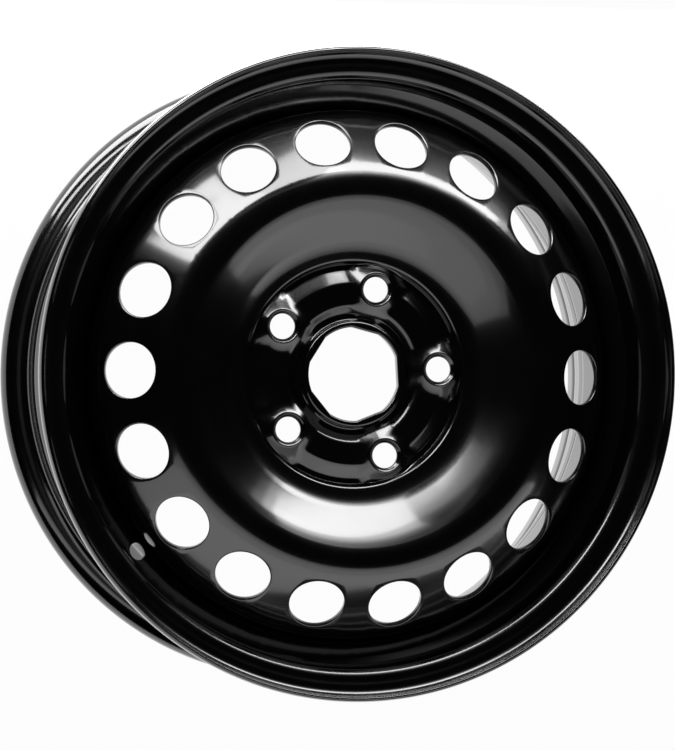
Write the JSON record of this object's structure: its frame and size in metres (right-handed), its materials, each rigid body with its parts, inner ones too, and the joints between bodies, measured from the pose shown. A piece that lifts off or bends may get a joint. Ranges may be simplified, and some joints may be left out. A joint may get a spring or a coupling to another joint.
{
  "type": "steel wheel rim",
  "caption": "Pressed-steel road wheel in gloss black paint: drop-centre rim with curled flanges, bowl-shaped disc with round vent holes, raised bolt seats and a centre bore with flats.",
  "frame": {"origin": "centre of the hub mounting face, on the wheel axis", "axes": "+Z along the wheel axis, outboard; +X and +Y across it, with the picture's right as +X and its top as +Y"},
  "size_m": [0.4148, 0.4146, 0.1836],
  "materials": {
    "rim_paint": "gloss black dip paint on rolled steel",
    "disc_paint": "gloss black dip paint on stamped steel",
    "weld_paint": "black dip paint over rippled weld"
  },
  "bodies": {
    "root": {"rim": "rim_paint", "disc": "disc_paint", "weld_beads": "weld_paint"}
  },
  "joints": []
}
